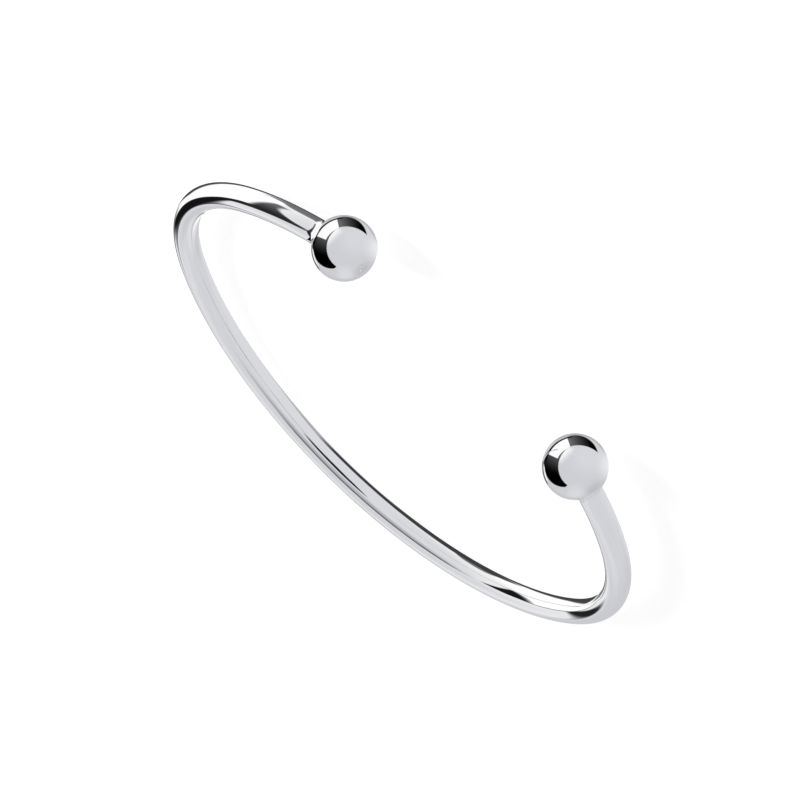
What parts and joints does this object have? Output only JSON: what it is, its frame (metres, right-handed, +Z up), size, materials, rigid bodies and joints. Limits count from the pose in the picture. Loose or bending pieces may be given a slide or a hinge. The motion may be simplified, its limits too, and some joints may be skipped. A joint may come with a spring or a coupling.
{
  "type": "torque bangle",
  "caption": "Open oval bangle of round polished silver wire with a plain ball soldered on each end.",
  "frame": {"origin": "middle of the bounding box, on the surface that the bangle lies on", "axes": "+X across the oval, along the line from the left ball to the right ball; +Y from the middle of the back to the opening between the balls; +Z up from the surface"},
  "size_m": [0.069, 0.057, 0.0074],
  "materials": {
    "silver": "polished sterling silver"
  },
  "bodies": {
    "root": {"bangle": "silver"}
  },
  "joints": []
}
